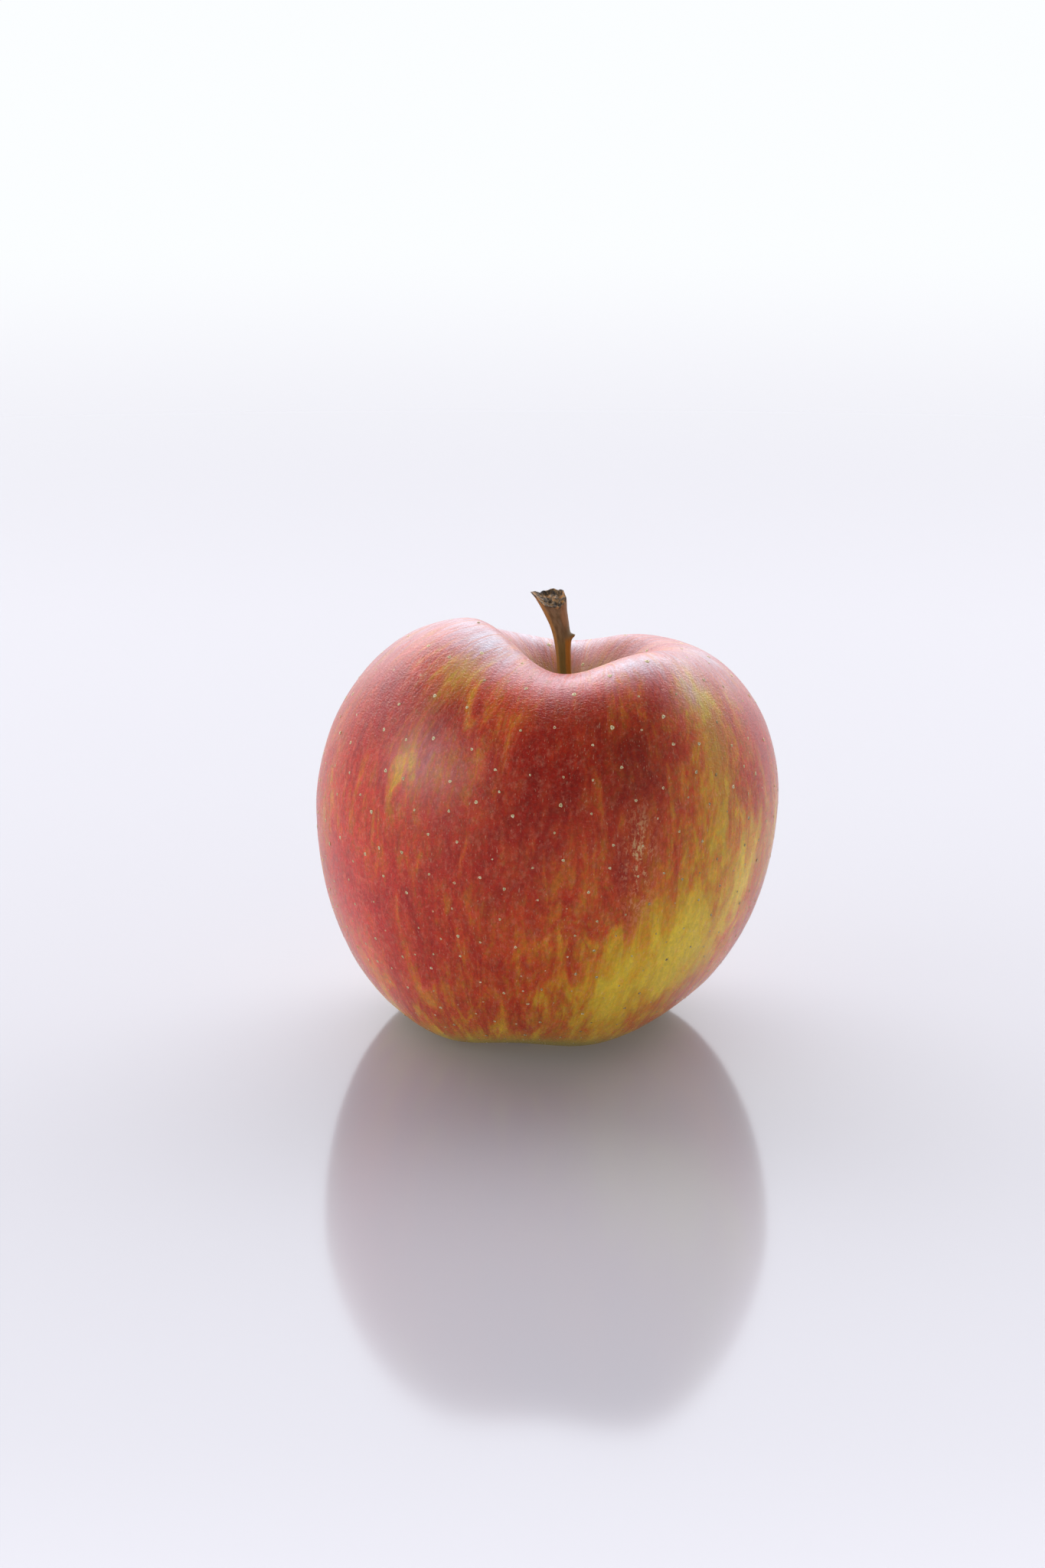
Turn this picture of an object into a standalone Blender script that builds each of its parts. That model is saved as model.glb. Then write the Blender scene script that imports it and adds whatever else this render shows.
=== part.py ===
"""An apple at rest on the lobes round its base: the fruit, its stem, and the dried flower in its base.

Metres, +Z up. The origin is in the middle of the fruit's footprint, on the surface that it stands on.
An azimuth is in degrees, from +X towards +Y.

The fruit's skin is one closed surface. A station says how far along it a point is, from the top inwards
to the bottom inwards:
    0 to 1  the stem cavity's wall, from its floor out to the shoulder
    1 to 2  from the shoulder down to the equator
    2 to 3  from the equator down to the ring that the apple stands on
    3 to 4  the basin's wall, from that ring in to the basin's middle
"""

import math

import bpy
from mathutils import Vector

# Clearance between two pieces that meet.
GAP = 0.0003

# The fruit's widest line. A wave is (number of crests, azimuth of one crest, height).
EQUATOR_RADIUS = 0.0385
EQUATOR_HEIGHT = 0.0389
EQUATOR_RISE = (0.0014, -0.0010)
EQUATOR_WAVES = ((2, 18.0, 0.00056), (3, 41.0, 0.0006))

# The shoulder round the stem cavity. A lobe is (azimuth, rise above the shoulder's height, spread in degrees).
SHOULDER_HEIGHT = 0.0654
SHOULDER_RADIUS = 0.0171
SHOULDER_CENTRE = (0.0031, -0.0019)
SHOULDER_WAVES = ((1, 261.0, 0.0026), (2, 319.0, 0.0024))
SHOULDER_LOBES = (
    (207.0, 0.0055, 36.0),
    (165.0, 0.0018, 36.0),
    (307.0, 0.0026, 32.0),
    (268.0, -0.0013, 22.0),
    (90.0, -0.0023, 36.0),
    (30.0, 0.0006, 36.0),
)
CAVITY_DEPTH = 0.0177
CAVITY_CENTRE = (0.0027, -0.0012)
CAVITY_CURVE = 1.9

# How square each half of the flank is at the back and the front, as a superellipse's exponent.
UPPER_FULLNESS = (1.76, 1.98)
LOWER_FULLNESS = (2.06, 1.90)

# The ring that the apple stands on, and the basin inside it. Each base lobe is worn to a small flat spot.
BASE_RADIUS = 0.0161
BASE_CENTRE = (-0.0037, 0.0026)
BASE_LOBES = 5
BASE_LOBE_AZIMUTH = 300.0
BASE_LOBE_RELIEF = 0.00124
REST_SPOT_DEPTH = 0.00032
BASIN_DEPTH = 0.0075

# The stem stands in a socket in the cavity's floor, and bends over near its torn, flared end.
STEM_LENGTH = 0.0267
STEM_RADIUS = 0.00112
STEM_FOOT_RADIUS = 0.0014
STEM_END_RADIUS = 0.0025
STEM_LEAN = (-0.0032, -0.0022)
STEM_BEND = 3.7
STEM_FLARE = 5.5
STEM_FLATNESS = 0.86
STEM_LIP = 0.0011
STEM_PIT_DEPTH = 0.0007
SOCKET_DEPTH = 0.0020

# The dried sepals lie along the basin's ceiling, round the dried stamens.
SEPAL_ROOT_RADIUS = 0.0020
SEPAL_LENGTH = 0.0066
SEPAL_WIDTH = 0.0033
SEPAL_THICKNESS = 0.00045
SEPAL_DROOP = 0.0017
STAMEN_COUNT = 10
STAMEN_TUFT_RADIUS = 0.00135
STAMEN_TUFT_FLUTE = 0.0003
STAMEN_TUFT_LENGTH = 0.0030

# Mesh density.
FRUIT_MERIDIANS = 60
CAVITY_ROWS = 9
SHOULDER_ROWS = 12
FLANK_ROWS = 16
BASIN_ROWS = 9
RING_CROWDING = 1.4
STEM_SIDES = 14
STEM_ROWS = 14
SEPAL_ROWS = 10
SEPAL_COLUMNS = 4
STAMEN_ROWS = 4

# Basin radius at the innermost row, as a share of the ring's: the last faces meet at one point.
BASIN_INNER_SHARE = 0.05


def wave_height(waves, azimuth):
    """Height of a sum of (crests, azimuth, height) waves at an azimuth in radians."""
    return sum(
        height * math.cos(crests * (azimuth - math.radians(crest))) for crests, crest, height in waves
    )


def lobe_height(lobes, azimuth):
    """Height of a sum of (azimuth, rise, spread) lobes at an azimuth in radians."""
    total = 0.0
    for centre, rise, spread in lobes:
        away = math.remainder(azimuth - math.radians(centre), 2 * math.pi)
        total += rise * math.exp(-((away / math.radians(spread)) ** 2))
    return total


def between_back_and_front(pair, azimuth):
    """Value at an azimuth in radians that runs smoothly from pair[0] at the back to pair[1] at the front."""
    share = (1 - math.sin(azimuth)) / 2
    return pair[0] + (pair[1] - pair[0]) * share


def equator(azimuth):
    """(radius, height) of the widest line."""
    radius = EQUATOR_RADIUS + wave_height(EQUATOR_WAVES, azimuth)
    rise = EQUATOR_RISE[0] * math.cos(azimuth) + EQUATOR_RISE[1] * math.sin(azimuth)
    return radius, EQUATOR_HEIGHT + rise


def shoulder(azimuth):
    """(radius, height) of the shoulder's highest line."""
    radius = SHOULDER_RADIUS + wave_height(SHOULDER_WAVES, azimuth)
    return radius, SHOULDER_HEIGHT + lobe_height(SHOULDER_LOBES, azimuth)


def base_height(azimuth):
    """Height of the ring that the apple stands on, before its lobes are worn flat."""
    fold = BASE_LOBES * (azimuth - math.radians(BASE_LOBE_AZIMUTH))
    return BASE_LOBE_RELIEF * (1 - math.cos(fold)) / 2 - REST_SPOT_DEPTH


def basin_ceiling(radius, azimuth):
    """Height of the basin's wall at a distance from the basin's middle."""
    inwards = (1 - radius / BASE_RADIUS) / (1 - BASIN_INNER_SHARE)
    low = base_height(azimuth)
    return low + (BASIN_DEPTH - low) * math.sin(math.pi / 2 * min(inwards, 1.0)) ** 2


def polar(centre, radius, azimuth, height):
    return Vector(
        (centre[0] + radius * math.cos(azimuth), centre[1] + radius * math.sin(azimuth), height)
    )


def cavity_floor_height():
    return SHOULDER_HEIGHT - CAVITY_DEPTH


def socket_radius():
    return STEM_FOOT_RADIUS + GAP


def mixed(first, second, share):
    return tuple(a + (b - a) * share for a, b in zip(first, second))


def skin_point(station, azimuth):
    """Point of the fruit's skin at a station from 0 to 4 and an azimuth in radians."""
    if station <= 1:
        rim_radius, rim_height = shoulder(azimuth)
        floor = cavity_floor_height()
        radius = socket_radius() + (rim_radius - socket_radius()) * station
        height = floor + (rim_height - floor) * (1 - (1 - station) ** CAVITY_CURVE)
        return polar(mixed(CAVITY_CENTRE, SHOULDER_CENTRE, station), radius, azimuth, height)
    wide_radius, wide_height = equator(azimuth)
    if station <= 2:
        turn = math.pi / 2 * (station - 1)
        rim_radius, rim_height = shoulder(azimuth)
        power = 2 / between_back_and_front(UPPER_FULLNESS, azimuth)
        out, up = math.sin(turn) ** power, math.cos(turn) ** power
        radius = rim_radius + (wide_radius - rim_radius) * out
        height = wide_height + (rim_height - wide_height) * up
        return polar(mixed(SHOULDER_CENTRE, (0, 0), out), radius, azimuth, height)
    if station <= 3:
        turn = math.pi / 2 * (station - 2)
        power = 2 / between_back_and_front(LOWER_FULLNESS, azimuth)
        out, down = math.cos(turn) ** power, math.sin(turn) ** power
        radius = BASE_RADIUS + (wide_radius - BASE_RADIUS) * out
        height = wide_height + (base_height(azimuth) - wide_height) * down
        return polar(mixed(BASE_CENTRE, (0, 0), out), radius, azimuth, max(height, 0))
    radius = BASE_RADIUS * (1 - (1 - BASIN_INNER_SHARE) * (station - 3))
    return polar(BASE_CENTRE, radius, azimuth, max(basin_ceiling(radius, azimuth), 0))


def material(name, colour, roughness):
    made = bpy.data.materials.new(name)
    made.use_nodes = True
    shader = made.node_tree.nodes["Principled BSDF"]
    shader.inputs["Base Color"].default_value = (*colour, 1)
    shader.inputs["Roughness"].default_value = roughness
    shader.inputs["Metallic"].default_value = 0
    return made


def mesh_object(name, points, faces, finish, parent):
    mesh = bpy.data.meshes.new(name)
    mesh.from_pydata(points, [], faces)
    mesh.shade_smooth()
    mesh.materials.append(finish)
    made = bpy.data.objects.new(name, mesh)
    bpy.context.scene.collection.objects.link(made)
    made.parent = parent
    return made


def loft(rings, start, end):
    """(points, faces) of a closed skin over rings of equal length, with a point to close it at each end.

    Seen from the end, each ring runs anticlockwise.
    """
    sides = len(rings[0])
    points = [start]
    for ring in rings:
        points.extend(ring)
    points.append(end)
    faces = []
    for k in range(sides):
        after = (k + 1) % sides
        faces.append((0, 1 + after, 1 + k))
        for row in range(len(rings) - 1):
            low, high = 1 + row * sides, 1 + (row + 1) * sides
            faces.append((low + k, low + after, high + after, high + k))
        last = 1 + (len(rings) - 1) * sides
        faces.append((last + k, last + after, len(points) - 1))
    return points, faces


def circle_azimuths(count, first=0.0):
    return [math.radians(first) + 2 * math.pi * k / count for k in range(count)]


def make_fruit(parent):
    # The meridians start on a base lobe, so that each lobe's flat spot has one through its middle.
    azimuths = circle_azimuths(FRUIT_MERIDIANS, BASE_LOBE_AZIMUTH)
    # The rows are closer together near the ring that the apple stands on.
    stations = [3 + (row / BASIN_ROWS) ** RING_CROWDING for row in range(BASIN_ROWS, 0, -1)]
    stations += [3 - (row / FLANK_ROWS) ** RING_CROWDING for row in range(FLANK_ROWS)]
    stations += [2 - row / SHOULDER_ROWS for row in range(SHOULDER_ROWS)]
    stations += [1 - row / CAVITY_ROWS for row in range(CAVITY_ROWS + 1)]
    rings = [[skin_point(station, azimuth) for azimuth in azimuths] for station in stations]
    socket_floor = cavity_floor_height() - SOCKET_DEPTH
    rings.append([polar(CAVITY_CENTRE, socket_radius(), azimuth, socket_floor) for azimuth in azimuths])
    points, faces = loft(
        rings,
        Vector((*BASE_CENTRE, BASIN_DEPTH)),
        Vector((*CAVITY_CENTRE, socket_floor)),
    )
    return mesh_object("fruit", points, faces, material("apple_skin", (0.42, 0.05, 0.03), 0.35), parent)


def stem_ring(height):
    """Points round the stem at a height above the cavity's floor."""
    share = max(height, 0) / STEM_LENGTH
    bend = share**STEM_BEND
    centre = Vector((*CAVITY_CENTRE, cavity_floor_height() + height))
    centre += Vector((STEM_LEAN[0] * bend, STEM_LEAN[1] * bend, 0))
    slope = STEM_BEND * share ** (STEM_BEND - 1) / STEM_LENGTH
    along = Vector((STEM_LEAN[0] * slope, STEM_LEAN[1] * slope, 1)).normalized()
    across = Vector((0, 1, 0)).cross(along).normalized()
    depth = along.cross(across)
    flare = share**STEM_FLARE
    radius = STEM_RADIUS + (STEM_END_RADIUS - STEM_RADIUS) * flare
    radius += (STEM_FOOT_RADIUS - STEM_RADIUS) * (1 - share) ** STEM_FLARE
    ring = []
    for azimuth in circle_azimuths(STEM_SIDES):
        side = radius * math.cos(azimuth)
        front = radius * math.sin(azimuth) * (1 - (1 - STEM_FLATNESS) * flare)
        lip = -STEM_LIP * flare * math.cos(azimuth)
        ring.append(centre + across * side + depth * front + along * lip)
    return ring, along


def make_stem(parent):
    foot = GAP - SOCKET_DEPTH
    heights = [foot] + [STEM_LENGTH * row / STEM_ROWS for row in range(STEM_ROWS + 1)]
    rings = [stem_ring(height)[0] for height in heights]
    end_middle = sum(rings[-1], Vector()) / STEM_SIDES
    along = stem_ring(STEM_LENGTH)[1]
    points, faces = loft(
        rings,
        sum(rings[0], Vector()) / STEM_SIDES,
        end_middle - along * STEM_PIT_DEPTH,
    )
    return mesh_object("stem", points, faces, material("stem_wood", (0.20, 0.12, 0.03), 0.7), parent)


def sepal_section(share, azimuth):
    """Points round a sepal at a share of the way from its root to its tip: its upper face, then its lower."""
    radius = SEPAL_ROOT_RADIUS + SEPAL_LENGTH * share
    room = 2 * radius * math.sin(math.pi / BASE_LOBES) - GAP
    outline = math.sin(math.pi * (0.22 + 0.76 * share)) ** 0.8
    half_width = min(SEPAL_WIDTH * outline, room) / 2
    droop = GAP + SEPAL_DROOP * math.sin(math.pi * share**0.8)
    thickness = SEPAL_THICKNESS * (0.4 + 0.6 * math.sin(math.pi * (0.15 + 0.75 * share)))
    outwards = Vector((math.cos(azimuth), math.sin(azimuth), 0))
    sideways = Vector((-outwards.y, outwards.x, 0))
    upper, lower = [], []
    for column in range(SEPAL_COLUMNS + 1):
        place = 2 * column / SEPAL_COLUMNS - 1
        flat = outwards * radius + sideways * half_width * place
        distance, direction = flat.length, math.atan2(flat.y, flat.x)
        top = basin_ceiling(distance, direction) - droop
        middle = thickness * (1 - place**2) ** 0.5
        point = Vector((BASE_CENTRE[0] + flat.x, BASE_CENTRE[1] + flat.y, top))
        upper.append(point - Vector((0, 0, (thickness - middle) / 2)))
        if 0 < column < SEPAL_COLUMNS:
            lower.append(point - Vector((0, 0, (thickness + middle) / 2)))
    return upper + lower[::-1]


def make_sepal(name, azimuth, finish, parent):
    sections = [sepal_section(row / SEPAL_ROWS, azimuth) for row in range(SEPAL_ROWS + 1)]
    size = len(sections[0])
    points, faces = loft(
        [section[::-1] for section in sections],
        sum(sections[0], Vector()) / size,
        sum(sections[-1], Vector()) / size,
    )
    return mesh_object(name, points, faces, finish, parent)


def make_stamens(parent):
    """The tuft of dried stamens: one fluted bundle, with a flute for each filament."""
    azimuths = circle_azimuths(STAMEN_COUNT * 3)
    top = BASIN_DEPTH - GAP
    rings = []
    for row in range(STAMEN_ROWS + 1):
        share = 1 - row / STAMEN_ROWS
        ring = []
        for azimuth in azimuths:
            radius = STAMEN_TUFT_RADIUS + STAMEN_TUFT_FLUTE * share * math.cos(STAMEN_COUNT * azimuth)
            ring.append(polar(BASE_CENTRE, radius, azimuth, top - STAMEN_TUFT_LENGTH * share))
        rings.append(ring)
    points, faces = loft(
        rings,
        Vector((*BASE_CENTRE, top - STAMEN_TUFT_LENGTH)),
        Vector((*BASE_CENTRE, top)),
    )
    return mesh_object("stamens", points, faces, material("dried_stamens", (0.07, 0.04, 0.02), 0.9), parent)


def footprint_middle(fruit):
    """Middle of the fruit's outline, seen from above."""
    xs = [vertex.co.x for vertex in fruit.data.vertices]
    ys = [vertex.co.y for vertex in fruit.data.vertices]
    return Vector(((min(xs) + max(xs)) / 2, (min(ys) + max(ys)) / 2, 0))


def main():
    for old in list(bpy.data.objects):
        bpy.data.objects.remove(old)
    apple = bpy.data.objects.new("apple", None)
    bpy.context.scene.collection.objects.link(apple)
    fruit = make_fruit(apple)
    make_stem(apple)
    dried = material("dried_sepal", (0.16, 0.10, 0.05), 0.85)
    for number, azimuth in enumerate(circle_azimuths(BASE_LOBES, BASE_LOBE_AZIMUTH), 1):
        make_sepal(f"sepal_{number}", azimuth, dried, apple)
    make_stamens(apple)
    apple.location = -footprint_middle(fruit)


main()
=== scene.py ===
"""The look of an apple: its waxy skin with blush, streaks and lenticels, its bark-covered stem with a torn
end, and the dried flower in its basin, on a pale glossy floor in a soft studio.

Metres, +Z up, +Y to the back. An azimuth is the angle from +X towards +Y, in radians unless it says degrees.
A station says how far along the skin a point is: 0 to 1 the stem cavity's wall, 1 to 2 the shoulder down to
the equator, 2 to 3 the equator down to the ring that the apple stands on, and 3 to 4 the basin's wall.
"""

import math

import bmesh
import bpy
import numpy as np
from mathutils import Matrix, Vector, noise


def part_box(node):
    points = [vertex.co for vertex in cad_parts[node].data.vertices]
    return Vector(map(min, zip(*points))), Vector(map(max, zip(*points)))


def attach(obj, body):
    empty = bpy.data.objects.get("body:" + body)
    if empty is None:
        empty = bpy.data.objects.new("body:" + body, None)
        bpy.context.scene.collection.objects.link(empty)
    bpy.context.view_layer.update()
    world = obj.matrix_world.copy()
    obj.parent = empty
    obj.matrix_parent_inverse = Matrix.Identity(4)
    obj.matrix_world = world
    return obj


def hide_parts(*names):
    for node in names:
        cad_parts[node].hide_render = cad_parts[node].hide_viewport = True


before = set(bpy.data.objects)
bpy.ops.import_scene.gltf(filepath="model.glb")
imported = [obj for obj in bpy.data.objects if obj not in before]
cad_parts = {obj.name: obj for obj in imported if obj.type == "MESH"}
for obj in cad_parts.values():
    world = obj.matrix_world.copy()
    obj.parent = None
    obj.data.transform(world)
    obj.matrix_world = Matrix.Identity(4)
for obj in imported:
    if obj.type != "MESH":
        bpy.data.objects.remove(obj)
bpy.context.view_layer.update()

SEED = 20

# --- The fruit's shape, with the CAD model's values --------------------------------------------------------

# A wave is (crests, azimuth of one crest in degrees, height), and a lobe is (azimuth in degrees, rise,
# spread in degrees). A pair for the equator's rise is (to the right, to the back), and one for fullness is
# (at the back, at the front).
EQUATOR_RADIUS = 0.0385
EQUATOR_HEIGHT = 0.0389
EQUATOR_RISE = (0.0014, -0.0010)
EQUATOR_WAVES = ((2, 18.0, 0.00056), (3, 41.0, 0.0006))
SHOULDER_HEIGHT = 0.0654
SHOULDER_RADIUS = 0.0171
SHOULDER_CENTRE = (0.0031, -0.0019)
SHOULDER_WAVES = ((1, 261.0, 0.0026), (2, 319.0, 0.0024))
SHOULDER_LOBES = (
    (207.0, 0.0055, 36.0),
    (165.0, 0.0018, 36.0),
    (307.0, 0.0026, 32.0),
    (268.0, -0.0013, 22.0),
    (90.0, -0.0023, 36.0),
    (30.0, 0.0006, 36.0),
)
CAVITY_DEPTH = 0.0177
CAVITY_CENTRE = (0.0027, -0.0012)
CAVITY_CURVE = 1.9
UPPER_FULLNESS = (1.76, 1.98)
LOWER_FULLNESS = (2.06, 1.90)
BASE_RADIUS = 0.0161
BASE_CENTRE = (-0.0037, 0.0026)
BASE_LOBES = 5
BASE_LOBE_AZIMUTH = math.radians(300)
BASE_LOBE_RELIEF = 0.00124
REST_SPOT_DEPTH = 0.00032
BASIN_DEPTH = 0.0075
BASIN_INNER_SHARE = 0.05
# The room between the fruit and each piece that it holds.
GAP = 0.0003
STEM_FOOT_RADIUS = 0.0014
SOCKET_DEPTH = 0.0020


def smooth(low, high, value):
    """A smooth step: 0 at low and beyond it, and 1 at high and beyond it. Low may be above high."""
    share = np.clip((value - low) / (high - low), 0, 1)
    return share * share * (3 - 2 * share)


def turned(azimuth, centre_degrees):
    """How far an azimuth is round from a centre, in degrees, from -180 to 180."""
    return np.remainder(np.degrees(azimuth) - centre_degrees + 180, 360) - 180


def wave_height(waves, azimuth):
    return sum(height * np.cos(crests * (azimuth - math.radians(crest))) for crests, crest, height in waves)


def lobe_height(lobes, azimuth):
    return sum(rise * np.exp(-((turned(azimuth, centre) / spread) ** 2)) for centre, rise, spread in lobes)


def back_to_front(pair, azimuth):
    return pair[0] + (pair[1] - pair[0]) * (1 - np.sin(azimuth)) / 2


def mixed(first, second, share):
    return first + (second - first) * share


def cavity_floor_height():
    return SHOULDER_HEIGHT - CAVITY_DEPTH


def base_height(azimuth):
    fold = BASE_LOBES * (azimuth - BASE_LOBE_AZIMUTH)
    return BASE_LOBE_RELIEF * (1 - np.cos(fold)) / 2 - REST_SPOT_DEPTH


def basin_ceiling(radius, azimuth):
    """Height of the basin's wall at a distance from the basin's middle."""
    inwards = (1 - radius / BASE_RADIUS) / (1 - BASIN_INNER_SHARE)
    low = base_height(azimuth)
    return low + (BASIN_DEPTH - low) * np.sin(math.pi / 2 * np.clip(inwards, 0, 1)) ** 2


def skin(station, azimuth):
    """Points of the fruit's skin, before the middle of its outline is moved to the origin."""
    rim_radius = SHOULDER_RADIUS + wave_height(SHOULDER_WAVES, azimuth)
    rim_height = SHOULDER_HEIGHT + lobe_height(SHOULDER_LOBES, azimuth)
    wide_radius = EQUATOR_RADIUS + wave_height(EQUATOR_WAVES, azimuth)
    wide_height = EQUATOR_HEIGHT + EQUATOR_RISE[0] * np.cos(azimuth) + EQUATOR_RISE[1] * np.sin(azimuth)
    inner_radius = STEM_FOOT_RADIUS + GAP
    floor = cavity_floor_height()
    centres = [np.array(centre) for centre in (CAVITY_CENTRE, SHOULDER_CENTRE, (0, 0), BASE_CENTRE)]

    in_cavity = np.clip(station, 0, 1)
    cavity = (
        mixed(inner_radius, rim_radius, in_cavity),
        mixed(floor, rim_height, 1 - (1 - in_cavity) ** CAVITY_CURVE),
        mixed(centres[0], centres[1], in_cavity[..., None]),
    )
    turn = math.pi / 2 * np.clip(station - 1, 0, 1)
    power = 2 / back_to_front(UPPER_FULLNESS, azimuth)
    out, up = np.sin(turn) ** power, np.cos(turn).clip(0) ** power
    upper = (
        mixed(rim_radius, wide_radius, out),
        mixed(wide_height, rim_height, up),
        mixed(centres[1], centres[2], out[..., None]),
    )
    turn = math.pi / 2 * np.clip(station - 2, 0, 1)
    power = 2 / back_to_front(LOWER_FULLNESS, azimuth)
    out, down = np.cos(turn).clip(0) ** power, np.sin(turn) ** power
    lower = (
        mixed(BASE_RADIUS, wide_radius, out),
        mixed(wide_height, base_height(azimuth), down),
        mixed(centres[3], centres[2], out[..., None]),
    )
    radius = BASE_RADIUS * (1 - (1 - BASIN_INNER_SHARE) * np.clip(station - 3, 0, 1))
    basin = (radius, basin_ceiling(radius, azimuth), np.broadcast_to(centres[3], lower[2].shape))

    stretches = [station <= 1, station <= 2, station <= 3]
    radius, height = (np.select(stretches, [s[i] for s in (cavity, upper, lower)], basin[i]) for i in (0, 1))
    centre = np.select([s[..., None] for s in stretches], [cavity[2], upper[2], lower[2]], basin[2])
    x = centre[..., 0] + radius * np.cos(azimuth)
    y = centre[..., 1] + radius * np.sin(azimuth)
    return np.stack([x, y, height.clip(0)], -1)


# --- Meshes ------------------------------------------------------------------------------------------------


def lumps(points, size, seed):
    """Smooth noise from about -1 to 1 at each point, with features of a size in metres."""
    offset = Vector((seed * 13.7, seed * 5.1, seed * 9.3))
    heights = [noise.noise(Vector(point) / size + offset) for point in points.reshape(-1, 3)]
    return np.array(heights).reshape(points.shape[:-1])


def add_attribute(mesh, name, values):
    """Gives each point a number, or three where the values have three columns."""
    kind, field = ("FLOAT_VECTOR", "vector") if values.ndim == 2 else ("FLOAT", "value")
    attribute = mesh.attributes.new(name, kind, "POINT")
    attribute.data.foreach_set(field, np.ascontiguousarray(values, np.float32).ravel())


def mesh_piece(name, points, faces, finish):
    """A smooth mesh object, in place in the row frame, that rides with the apple."""
    mesh = bpy.data.meshes.new(name)
    mesh.from_pydata(points, [], faces)
    mesh.shade_smooth()
    mesh.materials.append(finish)
    piece = bpy.data.objects.new(name, mesh)
    bpy.context.scene.collection.objects.link(piece)
    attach(piece, "root")
    return piece


def lathe_faces(rows, columns, first=0):
    """Quads between rings that each have the same number of points, the first ring's points first."""
    faces = []
    for row in range(rows - 1):
        low, high = first + row * columns, first + (row + 1) * columns
        for k in range(columns):
            after = (k + 1) % columns
            faces.append((low + k, low + after, high + after, high + k))
    return faces


def fan_faces(ring_start, columns, tip, outwards):
    """Triangles from a ring to one point."""
    faces = []
    for k in range(columns):
        after = (k + 1) % columns
        ends = (ring_start + k, ring_start + after)
        faces.append((*(ends if outwards else ends[::-1]), tip))
    return faces


# --- Materials ---------------------------------------------------------------------------------------------


class Nodes:
    """A node tree under construction, with short calls for the nodes that it needs."""

    def __init__(self, tree):
        self.tree = tree

    def add(self, kind, *inputs, **settings):
        node = self.tree.nodes.new("ShaderNode" + kind)
        for name, value in settings.items():
            setattr(node, name, value)
        for socket, value in zip([s for s in node.inputs if s.enabled], inputs):
            self.feed(socket, value)
        return node

    def feed(self, socket, value):
        if isinstance(value, bpy.types.NodeSocket):
            self.tree.links.new(value, socket)
        elif value is not None:
            socket.default_value = value

    def maths(self, operation, *values):
        return self.add("Math", *values, operation=operation).outputs[0]

    def stretched(self, vector, scale):
        return self.add("VectorMath", vector, scale, operation="MULTIPLY").outputs[0]

    def attribute(self, name, output):
        return self.add("Attribute", attribute_name=name).outputs[output]

    def noise(self, vector, size, detail=2.0, roughness=0.5, distortion=0.0):
        """Noise from 0 to 1 with features of a size in the vector's unit."""
        node = self.add("TexNoise")
        self.feed(node.inputs["Vector"], vector)
        self.feed(node.inputs["Scale"], 1 / size)
        self.feed(node.inputs["Detail"], detail)
        self.feed(node.inputs["Roughness"], roughness)
        self.feed(node.inputs["Distortion"], distortion)
        return node.outputs[0]

    def swing(self, value, amount):
        """A number from 0 to 1 turned into one from minus amount to amount."""
        return self.maths("MULTIPLY", self.maths("SUBTRACT", value, 0.5), 2 * amount)

    def total(self, *values):
        result = values[0]
        for value in values[1:]:
            result = self.maths("ADD", result, value)
        return result

    def step(self, value, low, high, to_low=0.0, to_high=1.0):
        """A smooth step: to_low at low and beyond it, and to_high at high and beyond it."""
        node = self.add("MapRange", value, low, high, to_low, to_high, interpolation_type="SMOOTHSTEP")
        return node.outputs[0]

    def blend(self, share, first, second, kind="MIX"):
        node = self.add("Mix", data_type="RGBA", blend_type=kind)
        sockets = [s for s in node.inputs if s.enabled]
        for socket, value in zip(sockets, (share, rgba(first), rgba(second))):
            self.feed(socket, value)
        return next(s for s in node.outputs if s.enabled)

    def ramp(self, value, stops):
        node = self.add("ValToRGB", value)
        elements = node.color_ramp.elements
        while len(elements) < len(stops):
            elements.new(0.5)
        for element, (place, colour) in zip(elements, stops):
            element.position = place
            element.color = rgba(colour)
        return node.outputs[0]

    def bump(self, height, distance, under=None):
        node = self.add("Bump")
        node.inputs["Distance"].default_value = distance
        self.feed(node.inputs["Height"], height)
        self.feed(node.inputs["Normal"], under)
        return node.outputs[0]


class Finish(Nodes):
    """A material under construction."""

    def __init__(self, name):
        self.material = bpy.data.materials.new(name)
        self.material.use_nodes = True
        super().__init__(self.material.node_tree)
        self.shader = self.tree.nodes["Principled BSDF"]

    def finish(self, **values):
        for name, value in values.items():
            self.feed(self.shader.inputs[name.replace("_", " ")], value)
        return self.material


def rgba(colour):
    return (*colour, 1) if isinstance(colour, tuple) and len(colour) == 3 else colour


# The skin's colour, from bare ground colour to full blush.
RED_STOPS = (
    (0.00, (0.80, 0.57, 0.038)),
    (0.20, (0.68, 0.36, 0.016)),
    (0.40, (0.57, 0.155, 0.012)),
    (0.60, (0.48, 0.058, 0.009)),
    (0.80, (0.39, 0.025, 0.005)),
    (1.00, (0.29, 0.010, 0.002)),
)
# How far each size of streak and blotch swings the redness.
BROAD_SWING = 0.74
NARROW_SWING = 0.42
MOTTLE_SWING = 0.40
GRAIN_SWING = 0.16
# The most that a streak in the blush pales, so that it doesn't bare the ground colour.
MOST_PALING = 0.26

CRIMSON = (0.60, 0.052, 0.050)
PEACH_CELLS = (0.66, 0.32, 0.20)
OLIVE = (0.34, 0.26, 0.03)
# A pale pink-white, partly the skin's waxy bloom and partly painted sheen of the back light.
BLOOM_AND_PAINTED_SHEEN = (0.555, 0.495, 0.565)
PALE_FLECK = (0.80, 0.62, 0.40)
SCUFF_TAN = (0.62, 0.44, 0.20)
SKIN_ROUGHNESS = 0.25
SKIN_IOR = 1.37


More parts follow.
